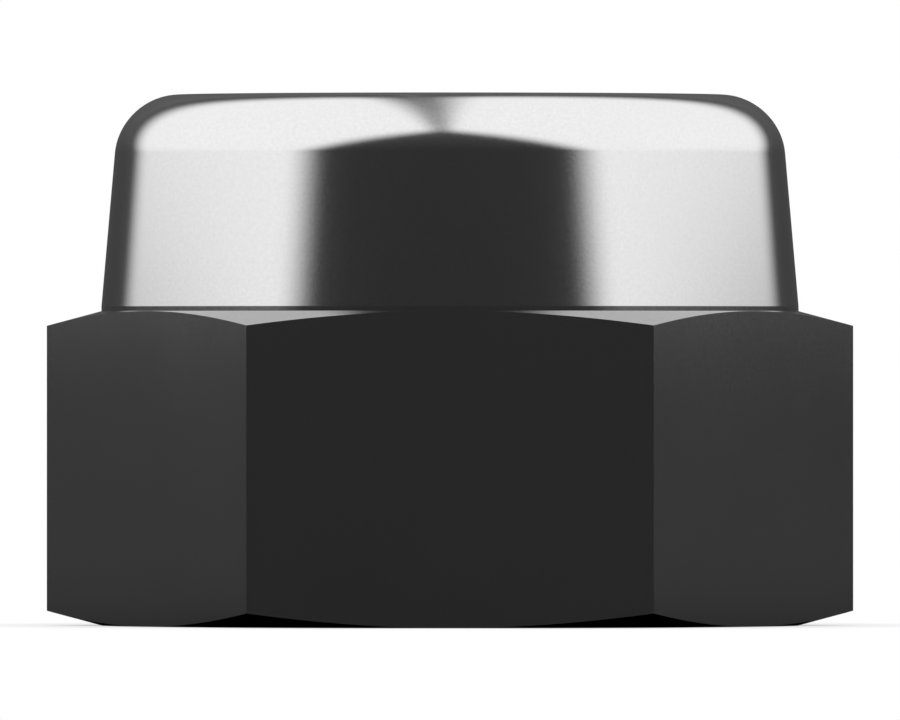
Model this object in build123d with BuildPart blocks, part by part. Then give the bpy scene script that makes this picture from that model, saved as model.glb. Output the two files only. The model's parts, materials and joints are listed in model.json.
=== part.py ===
from build123d import *
from math import cos, radians, tan
import os

# Lock nut for a coarse M20 thread, in millimetres: a hexagon nut whose tapered collar is rolled in over
# a nylon ring. The origin is the centre of the bearing face, and +Z runs up the thread's axis.

# Thread, with the 60 degree metric profile. Its bore is modelled at the minor diameter.
thread_diameter = 20.0
thread_pitch = 2.5
thread_angle = 60.0
thread_height_share = 5 / 8  # how much of the sharp V an internal thread keeps

# Hexagon, chamfered at both ends down to a circle that lies just inside the flats
hex_height = 13.5
flat_wall = 5.0  # metal from the thread's major diameter out to each flat
corner_chamfer_angle = 15.0
face_circle_inset = 0.025
turning_margin = 1.0  # how far the corner cutting cones run on past the corners

# Metal under the ring, with a countersink at each end of the thread
threaded_height = 16.9
countersink_angle = 120.0
entry_clearance = 0.5  # radial, from the thread's major diameter out to the countersink's rim
exit_clearance = 0.2

# Collar: a straight band, then a taper of even wall, rolled in at the top to a lip over the ring
collar_wall = 1.4
collar_band_height = 0.2
collar_taper = 5.0
shoulder_radius = 2.75  # outside; the pocket's corner is rounded about the same centre
smallest_pocket_corner = 0.2  # where the wall is as thick as the shoulder's radius
lip_clearance = 1.0  # radial, from the thread's major diameter out to the lip
lip_chamfer = 0.3  # top edge of the opening inside the lip

# Nylon ring, held between the pocket's floor and the lip
ring_height = 4.5
ring_bite = 0.7  # radial, from the thread's major diameter in to the ring's bore
ring_clearance = 0.05  # radial, inside the pocket's wall
ring_chamfer = 0.4  # both ends of the ring's bore, and its bottom outer edge

# Sizes that follow from the ones above
thread_radius = thread_diameter / 2
sharp_thread_height = thread_pitch / 2 / tan(radians(thread_angle / 2))
minor_radius = thread_radius - thread_height_share * sharp_thread_height
flat_distance = thread_radius + flat_wall
face_circle_radius = flat_distance - face_circle_inset
corner_distance = flat_distance / cos(radians(30))
taper_foot = hex_height + collar_band_height
lip_underside = threaded_height + ring_height
total_height = lip_underside + collar_wall
lip_radius = thread_radius + lip_clearance
ring_bore_radius = thread_radius - ring_bite
pocket_corner_radius = max(shoulder_radius - collar_wall, smallest_pocket_corner)


def collar_radius(height):
    """Outer radius of the collar's taper at a height above the bearing face."""
    return face_circle_radius - (height - taper_foot) * tan(radians(collar_taper))


def top_outer_corner(profile):
    """The highest, outermost corner of a profile drawn beside the thread's axis."""
    return profile.vertices().group_by(Axis.Y)[-1].sort_by(Axis.X)[-1]


def pocket_section(clearance=0.0):
    """Square-cornered section of the ring's pocket from the axis out, less a clearance at its wall."""
    with BuildSketch(Plane.XZ) as section:
        with BuildLine():
            Polyline(
                (0, threaded_height),
                (collar_radius(threaded_height) - collar_wall - clearance, threaded_height),
                (collar_radius(lip_underside) - collar_wall - clearance, lip_underside),
                (0, lip_underside),
                close=True,
            )
        make_face()
    return section.sketch


os.makedirs("parts", exist_ok=True)

# The steel nut, from hexagon bar
with BuildPart() as nut_body:
    with BuildSketch():
        RegularPolygon(flat_distance, side_count=6, major_radius=False)
    extrude(amount=hex_height)

    # Shallow cones turn the corners off at both ends
    turned_radius = corner_distance + turning_margin
    turned_drop = (turned_radius - face_circle_radius) * tan(radians(corner_chamfer_angle))
    with BuildSketch(Plane.XZ):
        with BuildLine():
            Polyline(
                (0, 0),
                (face_circle_radius, 0),
                (turned_radius, turned_drop),
                (turned_radius, hex_height - turned_drop),
                (face_circle_radius, hex_height),
                (0, hex_height),
                close=True,
            )
        make_face()
    revolve(axis=Axis.Z, mode=Mode.INTERSECT)

    # Collar, with its shoulder rounded by the rolling
    with BuildSketch(Plane.XZ) as collar_section:
        with BuildLine():
            Polyline(
                (0, hex_height),
                (face_circle_radius, hex_height),
                (face_circle_radius, taper_foot),
                (collar_radius(total_height), total_height),
                (0, total_height),
                close=True,
            )
        make_face()
        fillet(top_outer_corner(collar_section), radius=shoulder_radius)
    revolve(axis=Axis.Z)

    # Pocket for the ring, which leaves the same wall under the shoulder as beside it
    revolve(pocket_section(), axis=Axis.Z, mode=Mode.SUBTRACT)
    pocket_circles = nut_body.edges(Select.LAST).filter_by(GeomType.CIRCLE)
    fillet(pocket_circles.sort_by(Axis.Z)[-1], radius=pocket_corner_radius)

    # Thread's bore, countersunk at the bearing face and at the pocket's floor
    with Locations(-Plane.XY):
        CounterSinkHole(
            minor_radius,
            thread_radius + entry_clearance,
            depth=threaded_height,
            counter_sink_angle=countersink_angle,
        )
    with Locations(Plane.XY.offset(threaded_height)):
        CounterSinkHole(
            minor_radius,
            thread_radius + exit_clearance,
            depth=threaded_height,
            counter_sink_angle=countersink_angle,
        )

    # Opening inside the rolled lip, wide enough to pass the bolt
    with Locations(Plane.XY.offset(total_height)):
        Hole(lip_radius, depth=total_height - threaded_height)
    lip_circles = nut_body.edges(Select.LAST).filter_by(GeomType.CIRCLE)
    chamfer(lip_circles.sort_by(Axis.Z)[-1], length=lip_chamfer)

nut_body.part.label = "nut_body"
export_step(nut_body.part, "parts/nut_body.step")

# The nylon ring, which fills the pocket and stands in past the thread's major diameter
with BuildPart() as locking_ring:
    revolve(pocket_section(ring_clearance), axis=Axis.Z)
    chamfer(locking_ring.edges().group_by(Axis.Z)[-1], length=pocket_corner_radius)
    chamfer(locking_ring.edges().group_by(Axis.Z)[0], length=ring_chamfer)
    with Locations(Plane.XY.offset(lip_underside)):
        Hole(ring_bore_radius)
    chamfer(locking_ring.edges(Select.LAST).filter_by(GeomType.CIRCLE), length=ring_chamfer)

locking_ring.part.label = "locking_ring"
export_step(locking_ring.part, "parts/locking_ring.step")
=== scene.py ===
import json
from math import atan2, ceil, cos, hypot, pi, sin, tan

import bmesh
import bpy
from bpy.props import FloatProperty, FloatVectorProperty, IntProperty, PointerProperty
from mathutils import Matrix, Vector


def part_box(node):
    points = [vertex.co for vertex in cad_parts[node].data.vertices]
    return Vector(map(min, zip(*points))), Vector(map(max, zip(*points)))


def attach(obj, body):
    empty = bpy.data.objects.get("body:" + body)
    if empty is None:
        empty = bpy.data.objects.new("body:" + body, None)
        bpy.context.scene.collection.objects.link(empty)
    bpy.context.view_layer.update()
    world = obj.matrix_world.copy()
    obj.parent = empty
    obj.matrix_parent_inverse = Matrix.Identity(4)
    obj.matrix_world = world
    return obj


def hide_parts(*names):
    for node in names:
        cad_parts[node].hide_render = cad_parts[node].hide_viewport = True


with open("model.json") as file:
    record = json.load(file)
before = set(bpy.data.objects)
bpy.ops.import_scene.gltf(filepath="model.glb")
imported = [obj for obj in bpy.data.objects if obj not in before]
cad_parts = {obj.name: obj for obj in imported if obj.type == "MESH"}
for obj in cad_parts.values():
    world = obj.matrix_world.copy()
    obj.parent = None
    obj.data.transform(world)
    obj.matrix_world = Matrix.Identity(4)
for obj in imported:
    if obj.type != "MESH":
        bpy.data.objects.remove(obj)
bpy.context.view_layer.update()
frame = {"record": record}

bl_info = {
    "name": "Nylon insert lock nut",
    "version": (1, 0, 0),
    "blender": (4, 5, 0),
    "location": "3D View > Sidebar > Lock nut",
    "description": "Makes a lock nut with its cut thread and nylon ring, and a small studio to show it in",
    "category": "Object",
}

MM = 0.001
DEGREE = pi / 180
QUARTER_TURN = pi / 2
CORNER_TO_FLAT = 30 * DEGREE  # turn from a corner of the hexagon to the middle of a flat
HAIR = 0.005 * MM  # places that lie closer than this count as one

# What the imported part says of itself
NUT_TOP = Vector(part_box("nut_body")[1])
RING_BOTTOM, RING_TOP = (corner[2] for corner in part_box("locking_ring"))
MOUNTS = {mount["name"]: mount for mount in frame["record"]["mounts"]}
CORNER_DISTANCE, FLAT_DISTANCE, TOTAL_HEIGHT = NUT_TOP
HEX_HEIGHT = 2 * MOUNTS["back_flat"]["pos_m"][2]
MINOR_RADIUS = MOUNTS["thread"]["dims"]["r_mm"] * MM
RING_BORE_RADIUS = MOUNTS["ring_bore"]["dims"]["r_mm"] * MM
COLLAR_WALL = TOTAL_HEIGHT - RING_TOP


def length(name, description, default):
    """A property that holds a length in metres."""
    return FloatProperty(
        name=name, description=description, default=default, min=0, precision=5, unit="LENGTH"
    )


def angle(name, description, default):
    """A property that holds an angle, given in degrees."""
    return FloatProperty(name=name, description=description, default=default * DEGREE, unit="ROTATION")


def share(name, description, default):
    """A property that holds a plain number from 0 to 1."""
    return FloatProperty(name=name, description=description, default=default, min=0, max=1, precision=3)


def colour(name, description, default):
    """A property that holds a colour."""
    return FloatVectorProperty(
        name=name, description=description, default=default, min=0, max=1, subtype="COLOR"
    )


class LockNutSizes(bpy.types.PropertyGroup):
    """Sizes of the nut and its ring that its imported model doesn't state"""

    thread_diameter: length("Thread diameter", "Major diameter of the metric thread", 20 * MM)
    thread_pitch: length("Thread pitch", "Rise of the thread in one turn", 2.5 * MM)
    chamfer_angle: angle("Corner chamfer", "Slope of the cones that turn off the corners", 15)
    circle_inset: length("Circle inset", "How far the chamfers' circle lies inside the flats", 0.025 * MM)
    entry_clearance: length("Entry clearance", "From the thread to the lower countersink's rim", 0.5 * MM)
    exit_clearance: length("Exit clearance", "From the thread to the upper countersink's rim", 0.2 * MM)
    countersink_angle: angle("Countersink", "Included angle of both countersinks", 120)
    band_height: length("Band height", "Straight band at the collar's foot", 0.2 * MM)
    collar_taper: angle("Collar taper", "Slope of the collar's wall", 5)
    shoulder_radius: length("Shoulder radius", "Rounding of the rolled shoulder", 2.75 * MM)
    lip_clearance: length("Lip clearance", "From the thread out to the rolled lip", 1 * MM)
    lip_rounding: length("Lip rounding", "Rounding of the lip's two edges", 0.3 * MM)
    ring_clearance: length("Ring clearance", "Between the ring and the pocket's wall", 0.05 * MM)
    ring_rounding: length("Ring rounding", "Rounding of the ring's bore at both ends", 0.4 * MM)
    facets: IntProperty(name="Facets", description="Flat facets in one full turn", default=192, min=24)


class LockNutFinish(bpy.types.PropertyGroup):
    """Colours, gloss and grain of the steel and the nylon"""

    steel_colour: colour("Steel", "Colour of the bare steel", (0.46, 0.46, 0.46))
    steel_edge: colour("Steel edge", "Tint of the steel's reflections near grazing angles", (0.82,) * 3)
    steel_roughness: share("Steel roughness", "Middle of the steel's roughness", 0.13)
    steel_grain: length("Steel grain", "Size of the steel's grains", MM / 8)
    steel_patches: length("Steel patches", "Size of the soft patches in the steel", 6.25 * MM)
    turned_marks: length("Turned marks", "Width of the marks that turning leaves", MM / 9)
    drawn_marks: length("Drawn marks", "Width of the marks that drawing leaves on the flats", MM / 5)
    steel_relief: length("Steel relief", "Depth of the steel's grain and marks", 0.0006 * MM)
    nylon_colour: colour("Nylon", "Colour of the natural nylon", (0.78, 0.76, 0.7))
    nylon_roughness: share("Nylon roughness", "Middle of the nylon's roughness", 0.45)
    nylon_grain: length("Nylon grain", "Size of the nylon's grains", MM / 5)
    nylon_patches: length("Nylon patches", "Size of the soft patches in the nylon", 3.85 * MM)
    nylon_rings: length("Nylon rings", "Width of the faint rings round the nylon", MM / 4)
    nylon_relief: length("Nylon relief", "Depth of the nylon's grain and rings", 0.006 * MM)


class LockNutStudio(bpy.types.PropertyGroup):
    """The tent of soft panels and dark cards round the nut, the floor and the camera"""

    panel_strength: FloatProperty(
        name="Panel strength", description="Brightness of the two panels", default=1.85, min=0
    )
    shade_strength: share("Shade strength", "Brightness of the panels' darkest edges", 0.069)
    ridge_height: length("Ridge height", "Height at which the panels nearly meet", 181 * MM)
    ridge_gap: length("Ridge gap", "Gap between the panels along the ridge", 2 * MM)
    ridge_fade: length("Ridge fade", "Height over which the panels grow bright below the ridge", 13.5 * MM)
    ridge_glow: share("Ridge glow", "Share of the panels' light that is left along the ridge", 0.21)
    ridge_climb: share("Ridge climb", "How much that share grows in a metre to the front", 1.0)
    ridge_offset: length("Ridge offset", "How far left of the nut the ridge runs", 9.4 * MM)
    eave_height: length("Eave height", "Height of the panels' lower edges", 15 * MM)
    eave_fade: length("Eave fade", "Height over which the panels grow bright from the eaves up", 30 * MM)
    eave_power: share("Eave power", "Under 1, the light at the eaves grows fast and then slowly", 0.6)
    eave_climb: share("Eave climb", "How much the eaves' shade climbs towards the back", 0.005)
    low_shade: share("Low shade", "How much dimmer the panels are in their lower part", 0.06)
    low_height: length("Low height", "Height up to which the panels are dimmed", 44 * MM)
    full_height: length("Full height", "Height above which the panels are not dimmed", 57 * MM)
    skirt_foot: share("Skirt foot", "Brightness of the skirts at the floor", 0.072)
    skirt_top: share("Skirt top", "Brightness of the skirts at the eaves", 0.045)
    left_width: length("Left width", "From the nut to the left panel's lower edge", 230 * MM)
    right_width: length("Right width", "From the nut to the right panel's lower edge", 211 * MM)
    front_depth: length("Front depth", "From the nut to the front card", 185.8 * MM)
    front_fade: length("Front fade", "Depth over which the panels grow bright from the front", 69 * MM)
    back_depth: length("Back depth", "From the nut to the back card", 244 * MM)
    back_fade: length("Back fade", "Depth over which the panels grow bright from the back", 95 * MM)
    back_lean: share("Back lean", "How much nearer the back fade comes with height", 0.34)
    back_glow: share("Back glow", "How much brighter the panels' back ends are a metre up", 0.55)
    front_card: share("Front card", "Brightness of the front card at the floor", 0.036)
    front_rise: share("Front rise", "How much brighter the front card is a metre up", 0.35)
    back_card: share("Back card", "Brightness of the back card at the floor", 0.06)
    back_rise: FloatProperty(
        name="Back rise", description="How much brighter the back card is a metre up", default=1.12, min=0
    )
    ridge_card: share("Ridge card", "Brightness of the card over the ridge", 0.42)
    ridge_card_width: length("Ridge card width", "Width of the card over the ridge", 40 * MM)
    ridge_card_lift: length("Ridge card lift", "Height of that card over the ridge", 10 * MM)
    floor_size: length("Floor size", "Side of the square floor", 20)
    # The floor's light and shade, as the steel mirrors it, are painted into the floor's emission.
    floor_shade: share("Floor shade", "Brightness of the floor mirrored at grazing angles", 0.031)
    floor_side_light: share("Floor side light", "How much that grows in a metre to either side", 0.25)
    floor_glow: share("Floor glow", "Brightness of the floor mirrored from above", 0.4)
    near_glow: share("Near glow", "How much brighter that is close to the nut", 0.3)
    near_distance: length("Near distance", "From the nut's axis to where that starts to fade", 18 * MM)
    far_distance: length("Far distance", "From the nut's axis to where it has faded out", 65 * MM)
    # The floor's contact shadow is painted shade: ambient occlusion darkens its white emission near the nut.
    contact_shadow: share("Contact shadow", "How much the nut darkens the floor at its foot", 0.45)
    shadow_reach: length("Shadow reach", "How far from the nut it darkens the floor", 9 * MM)
    lens: FloatProperty(name="Lens", description="Focal length in millimetres", default=1300, min=50)
    filled_width: share("Filled width", "Share of the picture's width that the nut fills", 0.896)
    camera_reach: length("Camera reach", "Distance beyond which the camera sees nothing", 10)


class Value:
    """A number on a shader's socket: arithmetic on it adds Math nodes to that shader."""

    def __init__(self, shader, socket):
        self.shader = shader
        self.socket = socket

    def __add__(self, other):
        return self.shader.maths("ADD", self, other)

    def __sub__(self, other):
        return self.shader.maths("SUBTRACT", self, other)

    def __rsub__(self, other):
        return self.shader.maths("SUBTRACT", other, self)

    def __mul__(self, other):
        return self.shader.maths("MULTIPLY", self, other)

    def __pow__(self, other):
        return self.shader.maths("POWER", self, other)

    def __gt__(self, other):
        return self.shader.maths("GREATER_THAN", self, other)

    def __lt__(self, other):
        return self.shader.maths("LESS_THAN", self, other)

    def __abs__(self):
        return self.shader.maths("ABSOLUTE", self)

    __radd__ = __add__
    __rmul__ = __mul__


class Shader:
    """One material's nodes, each added by its type, its settings and what its sockets take."""

    def __init__(self, tree):
        self.tree = tree
        self.tree.nodes.clear()

    def node(self, kind, settings=None, sockets=None):
        """Adds a node. A socket takes a number, a colour, a Value or another node's output."""
        node = self.tree.nodes.new(kind)
        for name, setting in (settings or {}).items():
            setattr(node, name, setting)
        for name, given in (sockets or {}).items():
            source = given.socket if isinstance(given, Value) else given
            if isinstance(source, bpy.types.NodeSocket):
                self.tree.links.new(source, node.inputs[name])
            else:
                node.inputs[name].default_value = source
        return node

    def value(self, kind, settings=None, sockets=None, output=0):
        """The number that one output of a new node gives."""
        return Value(self, self.node(kind, settings, sockets).outputs[output])

    def place(self):
        """Where a point lies on its object: one vector, then its x, y and z."""
        place = self.node("ShaderNodeTexCoord").outputs["Object"]
        split = self.node("ShaderNodeSeparateXYZ", {}, {"Vector": place})
        return place, *(Value(self, split.outputs[axis]) for axis in "XYZ")

    def maths(self, operation, *numbers):
        """The result of one Math node."""
        return self.value("ShaderNodeMath", {"operation": operation}, dict(enumerate(numbers)))

    def fade(self, number, start, end):
        """A number's smooth way from 0 at its start to 1 at its end, which may be the lower one."""
        low, high = sorted((start, end))
        settings = {"interpolation_type": "SMOOTHSTEP"}
        sockets = {"Value": number, "From Min": low, "From Max": high}
        sockets["To Min"], sockets["To Max"] = (0, 1) if start < end else (1, 0)
        return self.value("ShaderNodeMapRange", settings, sockets)

    def vector(self, x, y, z=0.0):
        """A vector put together from its numbers."""
        return self.node("ShaderNodeCombineXYZ", {}, {"X": x, "Y": y, "Z": z}).outputs["Vector"]

    def noise(self, place, size, detail=3):
        """Noise from 0 to 1 at a place, with features of about a size and so many finer layers."""
        sockets = {"Vector": place, "Scale": 1 / size, "Detail": detail}
        return self.value("ShaderNodeTexNoise", {}, sockets)

    def bump(self, relief, depth):
        """The normal of a surface whose relief, from 0 to 1, is so deep."""
        sockets = {"Strength": 1.0, "Distance": depth, "Height": relief}
        return self.node("ShaderNodeBump", {}, sockets).outputs["Normal"]

    def surface(self, kind, sockets):
        """Adds the node that the surface's light comes from, and shows it."""
        light = self.node(kind, {}, sockets).outputs[0]
        self.node("ShaderNodeOutputMaterial", {}, {"Surface": light})


def new_material(name):
    """An empty material and the shader that fills it."""
    material = bpy.data.materials.new(name)
    material.use_nodes = True
    return material, Shader(material.node_tree)


def tinted(shader, base, amount):
    """A colour made lighter or darker by an amount near 1."""
    grey = shader.vector(amount, amount, amount)
    mix = shader.node("ShaderNodeVectorMath", {"operation": "MULTIPLY"}, {0: tuple(base), 1: grey})
    return mix.outputs["Vector"]


def swing(noise, amount):
    """Turns noise from 0 to 1 into a swing about nought, of half the amount either way."""
    return amount * (noise - 0.5)


def from_axis(x, y):
    """How far a place lies from the nut's axis."""
    return (x * x + y * y) ** 0.5


def steel_material(finish):
    """Bare steel with fine grain: drawn marks up the flats, and turned marks elsewhere."""
    material, shader = new_material("bare_steel")
    place, x, y, z = shader.place()
    radius = from_axis(x, y)
    normal = shader.node("ShaderNodeTexCoord").outputs["Normal"]
    facing_up = abs(shader.value("ShaderNodeSeparateXYZ", {}, {"Vector": normal}, "Z"))
    most_lean = 0.1
    on_flat = (radius > FLAT_DISTANCE - HAIR) * (facing_up < most_lean)

    squeeze = 0.02  # leaves the drawn marks fifty times longer than they are wide
    drawn = shader.noise(shader.vector(x, y, squeeze * z), finish.drawn_marks)
    turned = shader.noise(shader.vector(radius, z), finish.turned_marks)
    marks = on_flat * drawn + (1 - on_flat) * turned
    grain = shader.noise(place, finish.steel_grain, detail=4)
    patches = shader.noise(place, finish.steel_patches)

    marks_share = 0.35
    relief = marks_share * marks + (1 - marks_share) * grain
    dull_grain, dull_patches = 0.05, 0.02
    pale_grain, pale_patches = 0.16, 0.03
    brightness = 1 + swing(grain, pale_grain) + swing(patches, pale_patches)
    shader.surface(
        "ShaderNodeBsdfPrincipled",
        {
            "Base Color": tinted(shader, finish.steel_colour, brightness),
            "Metallic": 1.0,
            "Specular Tint": (*finish.steel_edge, 1.0),
            "Roughness": finish.steel_roughness + swing(grain, dull_grain) + swing(patches, dull_patches),
            "Normal": shader.bump(relief, finish.steel_relief),
        },
    )
    return material


def nylon_material(finish):
    """Natural nylon: off-white, a little uneven, with the faint rings that its stamping and rolling leave."""
    material, shader = new_material("natural_nylon")
    place, x, y, z = shader.place()
    radius = from_axis(x, y)

    rings = shader.noise(shader.vector(radius, z), finish.nylon_rings, detail=2)
    grain = shader.noise(place, finish.nylon_grain)
    patches = shader.noise(place, finish.nylon_patches, detail=2)

    rings_share = 0.5
    relief = rings_share * rings + (1 - rings_share) * grain
    dull_grain = 0.1
    pale_patches = 0.12
    brightness = 1 + swing(patches, pale_patches)
    shader.surface(
        "ShaderNodeBsdfPrincipled",
        {
            "Base Color": tinted(shader, finish.nylon_colour, brightness),
            "Roughness": finish.nylon_roughness + swing(grain, dull_grain),
            "Normal": shader.bump(relief, finish.nylon_relief),
        },
    )
    return material


def panel_material(studio):
    """A soft panel: bright in its middle, and fading to shade at its eave, its ridge and both ends."""
    material, shader = new_material("soft_panel")
    _, _, y, z = shader.place()
    front, back = -studio.front_depth, studio.back_depth
    eave, ridge = studio.eave_height, studio.ridge_height
    from_front = shader.fade(y, front, front + studio.front_fade)
    from_back = shader.fade(y + studio.back_lean * z, back, back - studio.back_fade)
    from_eave = shader.fade(z - studio.eave_climb * y, eave, eave + studio.eave_fade)
    low = studio.low_shade * shader.fade(z, studio.full_height, studio.low_height)
    from_ridge = shader.fade(z, ridge, ridge - studio.ridge_fade)
    left_at_ridge = (1 - from_ridge) * (studio.ridge_glow - studio.ridge_climb * y)
    lit = from_front * from_back * from_eave**studio.eave_power * (1 - low) * (from_ridge + left_at_ridge)
    shade = studio.shade_strength + studio.back_glow * z * (1 - from_back)
    strength = shade + (studio.panel_strength - studio.shade_strength) * lit
    shader.surface("ShaderNodeEmission", {"Strength": strength})
    return material


def card_material(name, foot, rise=0.0):
    """A card that shines with a strength of foot at the floor and rise more for each metre up."""
    material, shader = new_material(name)
    _, _, _, z = shader.place()
    shader.surface("ShaderNodeEmission", {"Strength": foot + rise * z})
    return material


def floor_material(studio, sizes):
    """A white floor with the nut's contact shadow painted in. The steel mirrors a painted image of it:
    pale from above, dark at grazing angles but lighter towards the side panels, and black where the
    nut stands on it."""
    material, shader = new_material("floor")
    _, x, y, _ = shader.place()
    x, y = abs(x), abs(y)
    away = from_axis(x, y)
    # Painted shade: what the steel mirrors of the floor turns black under the nut's footprint and just past
    # its flats, but not in the bore.
    to_side_flat = cos(CORNER_TO_FLAT) * x + sin(CORNER_TO_FLAT) * y
    past_flats = shader.maths("MAXIMUM", y, to_side_flat) - FLAT_DISTANCE
    foot_blur, bore_blur = 0.6 * MM, 1.5 * MM
    bore_rim = sizes.thread_diameter / 2 + sizes.entry_clearance
    in_bore = shader.fade(away, bore_rim, bore_rim - bore_blur)
    painted_shade_under_nut = shader.fade(past_flats, foot_blur, 0) * (1 - in_bore)

    # Painted reflection: to the steel the floor glows dark at grazing angles, lighter towards the side
    # panels, and pale from above, most near the nut.
    steepness = 1 - shader.value("ShaderNodeLayerWeight", {}, {"Blend": 0.5}, "Facing")
    grazing_end, steep_start = 0.1, 0.3
    from_above = shader.fade(steepness, grazing_end, steep_start)
    grazing = studio.floor_shade + studio.floor_side_light * x
    near = shader.fade(away, studio.far_distance, studio.near_distance)
    pale = studio.floor_glow + studio.near_glow * near
    painted_floor_reflection = (grazing + pale * from_above) * (1 - painted_shade_under_nut)

    # To the camera the floor is white, with the nut's contact shadow painted in from ambient occlusion.
    seen = shader.value("ShaderNodeLightPath", output="Is Camera Ray")
    reach = {"Distance": studio.shadow_reach}
    open_sky = shader.value("ShaderNodeAmbientOcclusion", {"samples": 8}, reach, "AO")
    white = 1 - studio.contact_shadow * (1 - open_sky)
    shader.surface("ShaderNodeEmission", {"Strength": seen * white + (1 - seen) * painted_floor_reflection})
    return material


def added(name, primitive, **sizes):
    """The object that one of Blender's primitives makes, alone in the selection, its place applied."""
    bpy.ops.object.select_all(action="DESELECT")
    primitive(**sizes)
    piece = bpy.context.object
    piece.name = name
    piece.data.name = name
    bpy.ops.object.transform_apply(location=True, rotation=True, scale=True)
    return piece


def edit(piece):
    """Opens one piece in edit mode with nothing selected."""
    bpy.ops.object.select_all(action="DESELECT")
    bpy.context.view_layer.objects.active = piece
    piece.select_set(True)
    bpy.ops.object.mode_set(mode="EDIT")
    bpy.ops.mesh.select_all(action="DESELECT")


def close():
    """Leaves edit mode."""
    bpy.ops.object.mode_set(mode="OBJECT")


def apply_modifier(piece, kind, **settings):
    """Adds one modifier with its settings and applies it."""
    bpy.context.view_layer.objects.active = piece
    modifier = piece.modifiers.new(kind.lower(), kind)
    for name, setting in settings.items():
        setattr(modifier, name, setting)
    bpy.ops.object.modifier_apply(modifier=modifier.name)


def turned(name, outline, facets):
    """A closed ring round Z: a circle extruded from corner to corner of an outline of radius and height."""
    radius, height = outline[0]
    ring = added(
        name, bpy.ops.mesh.primitive_circle_add, vertices=facets, radius=radius, location=(0, 0, height)
    )
    edit(ring)
    bpy.ops.mesh.select_all(action="SELECT")
    for next_radius, next_height in outline[1:]:
        lift = (0, 0, next_height - height)
        bpy.ops.mesh.extrude_region_move(TRANSFORM_OT_translate={"value": lift})
        growth = next_radius / radius
        bpy.ops.transform.resize(value=(growth, growth, 1), center_override=(0, 0, next_height))
        radius, height = next_radius, next_height
    bpy.ops.mesh.select_all(action="DESELECT")
    bpy.ops.mesh.select_non_manifold()
    bpy.ops.mesh.bridge_edge_loops()
    bpy.ops.mesh.select_all(action="SELECT")
    bpy.ops.mesh.normals_make_consistent(inside=False)
    close()
    return ring


def round_edge(ring, corner, radius, turn, segments):
    """Rounds a turned ring's edge at one corner of its outline, where the outline turns by an angle."""
    edit(ring)
    mesh = bmesh.from_edit_mesh(ring.data)
    for edge in mesh.edges:
        places = [Vector((hypot(*vertex.co.xy), vertex.co.z)) for vertex in edge.verts]
        if all((place - Vector(corner)).length < HAIR for place in places):
            edge.select_set(True)
    bmesh.update_edit_mesh(ring.data)
    bpy.ops.mesh.bevel(
        offset=radius * tan(turn / 2), segments=segments, affect="EDGES", clamp_overlap=False
    )
    close()


def shade(piece, material, sharp_angle):
    """Gives a finished piece its material and smooths its facets, but not its true edges."""
    bpy.ops.object.select_all(action="DESELECT")
    bpy.context.view_layer.objects.active = piece
    piece.select_set(True)
    bpy.ops.object.shade_smooth_by_angle(angle=sharp_angle)
    apply_modifier(piece, "WEIGHTED_NORMAL", weight=100, keep_sharp=True)
    piece.data.materials.clear()
    piece.data.materials.append(material)


def delete(piece):
    """Deletes a tool that has done its work."""
    bpy.data.meshes.remove(piece.data)


def collar_radius(sizes, height):
    """Outer radius of the collar's taper at a height."""
    foot = HEX_HEIGHT + sizes.band_height
    return FLAT_DISTANCE - sizes.circle_inset - (height - foot) * tan(sizes.collar_taper)


def thread_cutter(sizes):
    """The right-hand helical groove of the thread, as a solid that runs past both ends of the bore."""
    reach_in = 0.4 * MM
    flank_angle = 30 * DEGREE
    major = sizes.thread_diameter / 2
    inner = MINOR_RADIUS - reach_in
    depth = major - inner
    root_width = sizes.thread_pitch / 8
    inner_width = root_width + 2 * depth * tan(flank_angle)
    turns = ceil(RING_BOTTOM / sizes.thread_pitch) + 1
    centre = (inner + depth / 2, 0, (RING_BOTTOM - turns * sizes.thread_pitch) / 2)

    cutter = added(
        "thread_cutter",
        bpy.ops.mesh.primitive_plane_add,
        size=1,
        location=centre,
        rotation=(QUARTER_TURN, 0, 0),
    )
    edit(cutter)
    bpy.ops.mesh.select_all(action="SELECT")
    bpy.ops.transform.resize(value=(depth, 1, inner_width), center_override=centre)
    mesh = bmesh.from_edit_mesh(cutter.data)
    for vertex in mesh.verts:
        vertex.select = vertex.co.x > centre[0]
    mesh.select_flush(False)
    bmesh.update_edit_mesh(cutter.data)
    bpy.ops.transform.resize(value=(1, 1, root_width / inner_width), center_override=centre)
    bpy.ops.mesh.select_all(action="SELECT")
    bpy.ops.mesh.delete(type="ONLY_FACE")
    close()
    apply_modifier(
        cutter,
        "SCREW",
        axis="Z",
        angle=2 * pi,
        screw_offset=sizes.thread_pitch,
        iterations=turns,
        steps=sizes.facets,
        render_steps=sizes.facets,
    )
    edit(cutter)
    bpy.ops.mesh.select_all(action="SELECT")
    bpy.ops.mesh.fill_holes(sides=4)
    bpy.ops.mesh.normals_make_consistent(inside=False)
    close()
    return cutter


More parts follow.
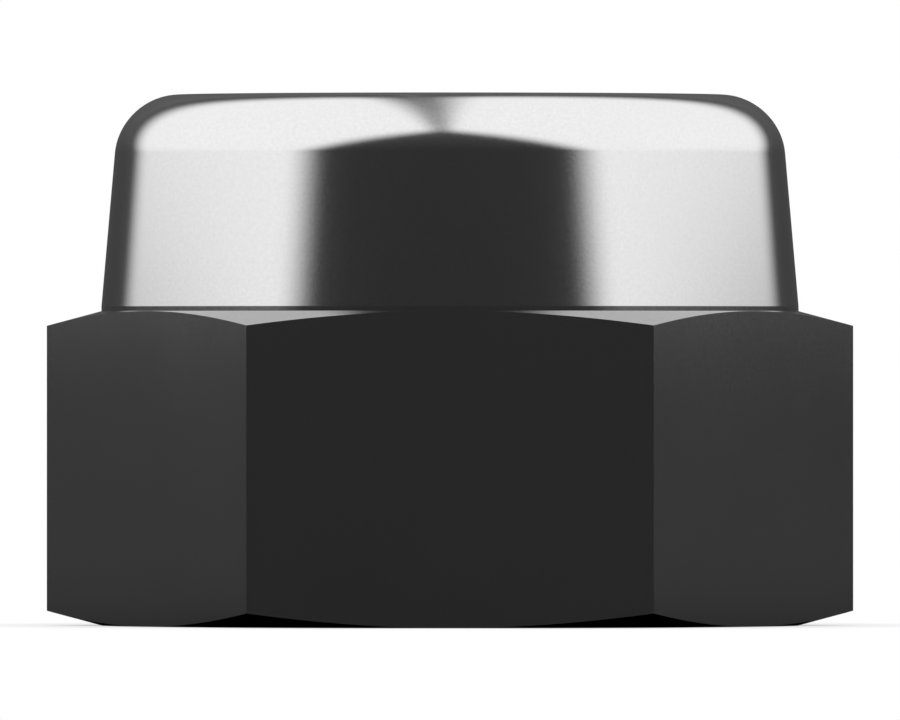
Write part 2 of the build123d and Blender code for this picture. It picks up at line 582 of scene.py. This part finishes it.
class LOCKNUT_OT_nut_body(bpy.types.Operator):
    """Turn the steel nut from hexagon bar, roll its collar and cut its thread"""

    bl_idname = "lock_nut.nut_body"
    bl_label = "Nut body"

    def execute(self, context):
        sizes = context.scene.lock_nut_sizes
        major = sizes.thread_diameter / 2
        circle = FLAT_DISTANCE - sizes.circle_inset
        turning_margin = 1 * MM
        past_corner = CORNER_DISTANCE + turning_margin
        drop = (past_corner - circle) * tan(sizes.chamfer_angle)
        countersink_slope = tan(sizes.countersink_angle / 2)
        entry = major + sizes.entry_clearance
        way_out = major + sizes.exit_clearance
        lip = major + sizes.lip_clearance
        shoulder = (collar_radius(sizes, TOTAL_HEIGHT), TOTAL_HEIGHT)
        pocket_corner = (collar_radius(sizes, RING_TOP) - COLLAR_WALL, RING_TOP)
        body = turned(
            "steel_nut",
            [
                (entry, 0),
                (circle, 0),
                (past_corner, drop),
                (past_corner, HEX_HEIGHT - drop),
                (circle, HEX_HEIGHT),
                (circle, HEX_HEIGHT + sizes.band_height),
                shoulder,
                (lip, TOTAL_HEIGHT),
                (lip, RING_TOP),
                pocket_corner,
                (collar_radius(sizes, RING_BOTTOM) - COLLAR_WALL, RING_BOTTOM),
                (way_out, RING_BOTTOM),
                (MINOR_RADIUS, RING_BOTTOM - (way_out - MINOR_RADIUS) / countersink_slope),
                (MINOR_RADIUS, (entry - MINOR_RADIUS) / countersink_slope),
            ],
            sizes.facets,
        )
        rolled = QUARTER_TURN - sizes.collar_taper
        round_edge(body, shoulder, sizes.shoulder_radius, rolled, segments=28)
        round_edge(body, (lip, TOTAL_HEIGHT), sizes.lip_rounding, QUARTER_TURN, segments=6)
        round_edge(body, (lip, RING_TOP), sizes.lip_rounding / 2, QUARTER_TURN, segments=3)
        round_edge(body, pocket_corner, sizes.shoulder_radius - COLLAR_WALL, rolled, segments=10)

        hexagon = added(
            "hexagon_bar",
            bpy.ops.mesh.primitive_cylinder_add,
            vertices=6,
            radius=CORNER_DISTANCE,
            depth=4 * TOTAL_HEIGHT,
            rotation=(0, 0, CORNER_TO_FLAT),
        )
        groove = thread_cutter(sizes)
        apply_modifier(body, "BOOLEAN", operation="INTERSECT", object=hexagon, solver="EXACT")
        apply_modifier(body, "BOOLEAN", operation="DIFFERENCE", object=groove, solver="EXACT")
        delete(hexagon)
        delete(groove)
        shade(body, steel_material(context.scene.lock_nut_finish), sharp_angle=4 * DEGREE)
        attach(body, "root")
        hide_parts("nut_body")
        return {"FINISHED"}


class LOCKNUT_OT_locking_ring(bpy.types.Operator):
    """Turn the nylon ring that fills the collar's pocket"""

    bl_idname = "lock_nut.locking_ring"
    bl_label = "Locking ring"

    def execute(self, context):
        sizes = context.scene.lock_nut_sizes
        inset = COLLAR_WALL + sizes.ring_clearance
        bottom_edge = (collar_radius(sizes, RING_BOTTOM) - inset, RING_BOTTOM)
        top_edge = (collar_radius(sizes, RING_TOP) - inset, RING_TOP)
        bottom_bore = (RING_BORE_RADIUS, RING_BOTTOM)
        top_bore = (RING_BORE_RADIUS, RING_TOP)
        ring = turned("nylon_ring", [bottom_bore, bottom_edge, top_edge, top_bore], sizes.facets)
        rolled = QUARTER_TURN - sizes.collar_taper
        blunt = QUARTER_TURN + sizes.collar_taper
        round_edge(ring, top_edge, sizes.shoulder_radius - COLLAR_WALL, rolled, segments=10)
        round_edge(ring, bottom_edge, sizes.ring_rounding, blunt, segments=5)
        round_edge(ring, bottom_bore, sizes.ring_rounding, QUARTER_TURN, segments=5)
        round_edge(ring, top_bore, sizes.ring_rounding, QUARTER_TURN, segments=6)
        shade(ring, nylon_material(context.scene.lock_nut_finish), sharp_angle=30 * DEGREE)
        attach(ring, "root")
        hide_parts("locking_ring")
        return {"FINISHED"}


def hang_card(name, material, size, place, turn=(0, 0, 0)):
    """Hangs a flat card in the studio, which lights or shades the nut without being seen itself."""
    card = added(name, bpy.ops.mesh.primitive_plane_add, size=1)
    edit(card)
    bpy.ops.mesh.select_all(action="SELECT")
    bpy.ops.transform.resize(value=(*size, 1), center_override=(0, 0, 0))
    close()
    card.rotation_euler = turn
    card.location = place
    bpy.ops.object.transform_apply(location=True, rotation=True)
    card.data.materials.append(material)
    card.visible_camera = False
    card.visible_diffuse = False
    card.visible_shadow = False


class LOCKNUT_OT_studio(bpy.types.Operator):
    """Set up the floor, the tent of soft panels and dark cards, the background and the camera"""

    bl_idname = "lock_nut.studio"
    bl_label = "Studio"

    def execute(self, context):
        studio = context.scene.lock_nut_studio
        depth = studio.front_depth + studio.back_depth
        middle = (studio.back_depth - studio.front_depth) / 2
        rise = studio.ridge_height - studio.eave_height
        panel = panel_material(studio)
        skirt_rise = (studio.skirt_top - studio.skirt_foot) / studio.eave_height
        skirt = card_material("skirt_card", studio.skirt_foot, skirt_rise)
        for side, name, width in ((-1, "left", studio.left_width), (1, "right", studio.right_width)):
            top = side * studio.ridge_gap / 2 - studio.ridge_offset
            foot = side * width
            across = abs(foot - top)
            hang_card(
                f"{name}_panel",
                panel,
                (hypot(across, rise), depth),
                ((top + foot) / 2, middle, studio.eave_height + rise / 2),
                (0, side * atan2(rise, across), 0),
            )
            hang_card(
                f"{name}_skirt",
                skirt,
                (studio.eave_height, depth),
                (foot, middle, studio.eave_height / 2),
                (0, QUARTER_TURN, 0),
            )
        breadth = studio.left_width + studio.right_width
        for name, place, glow, climb in (
            ("front_card", -studio.front_depth, studio.front_card, studio.front_rise),
            ("back_card", studio.back_depth, studio.back_card, studio.back_rise),
        ):
            hang_card(
                name,
                card_material(name, glow, climb),
                (2 * breadth, 2 * studio.ridge_height),
                (0, place, studio.ridge_height),
                (QUARTER_TURN, 0, 0),
            )
        hang_card(
            "ridge_card",
            card_material("ridge_card", studio.ridge_card),
            (studio.ridge_card_width, depth),
            (-studio.ridge_offset, middle, studio.ridge_height + studio.ridge_card_lift),
        )

        floor = added("floor", bpy.ops.mesh.primitive_plane_add, size=studio.floor_size)
        floor.data.materials.append(floor_material(studio, context.scene.lock_nut_sizes))
        floor.visible_shadow = False

        world = bpy.data.worlds.new("white_background")
        world.use_nodes = True
        shader = Shader(world.node_tree)
        white = shader.node("ShaderNodeBackground", {}, {"Color": (1, 1, 1, 1), "Strength": 1.0})
        shader.node("ShaderNodeOutputWorld", {}, {"Surface": white.outputs["Background"]})
        context.scene.world = world

        bpy.ops.object.camera_add(rotation=(QUARTER_TURN, 0, 0))
        camera = context.object
        camera.data.lens = studio.lens
        framed_width = 2 * CORNER_DISTANCE / studio.filled_width
        distance = framed_width * studio.lens / camera.data.sensor_width
        camera.location = (0, -distance, TOTAL_HEIGHT / 2)
        camera.data.clip_end = studio.camera_reach
        context.scene.camera = camera
        context.scene.view_settings.view_transform = "Standard"
        return {"FINISHED"}


class LOCKNUT_PT_panel(bpy.types.Panel):
    """Lists what makes the lock nut, with its sizes, its finish and the studio's values"""

    bl_idname = "LOCKNUT_PT_panel"
    bl_label = "Lock nut"
    bl_space_type = "VIEW_3D"
    bl_region_type = "UI"
    bl_category = "Lock nut"

    def draw(self, context):
        for operator in OPERATORS:
            self.layout.operator(operator.bl_idname)
        for group in (
            context.scene.lock_nut_sizes,
            context.scene.lock_nut_finish,
            context.scene.lock_nut_studio,
        ):
            box = self.layout.box()
            for name in group.__annotations__:
                box.prop(group, name)


GROUPS = {
    "lock_nut_sizes": LockNutSizes,
    "lock_nut_finish": LockNutFinish,
    "lock_nut_studio": LockNutStudio,
}
OPERATORS = (LOCKNUT_OT_nut_body, LOCKNUT_OT_locking_ring, LOCKNUT_OT_studio)
CLASSES = (*GROUPS.values(), *OPERATORS, LOCKNUT_PT_panel)


def register():
    for cls in CLASSES:
        bpy.utils.register_class(cls)
    for name, group in GROUPS.items():
        setattr(bpy.types.Scene, name, PointerProperty(type=group))


def unregister():
    for name in GROUPS:
        delattr(bpy.types.Scene, name)
    for cls in reversed(CLASSES):
        bpy.utils.unregister_class(cls)


def main():
    register()
    bpy.ops.lock_nut.nut_body()
    bpy.ops.lock_nut.locking_ring()
    bpy.ops.lock_nut.studio()


if __name__ == "__main__":
    main()
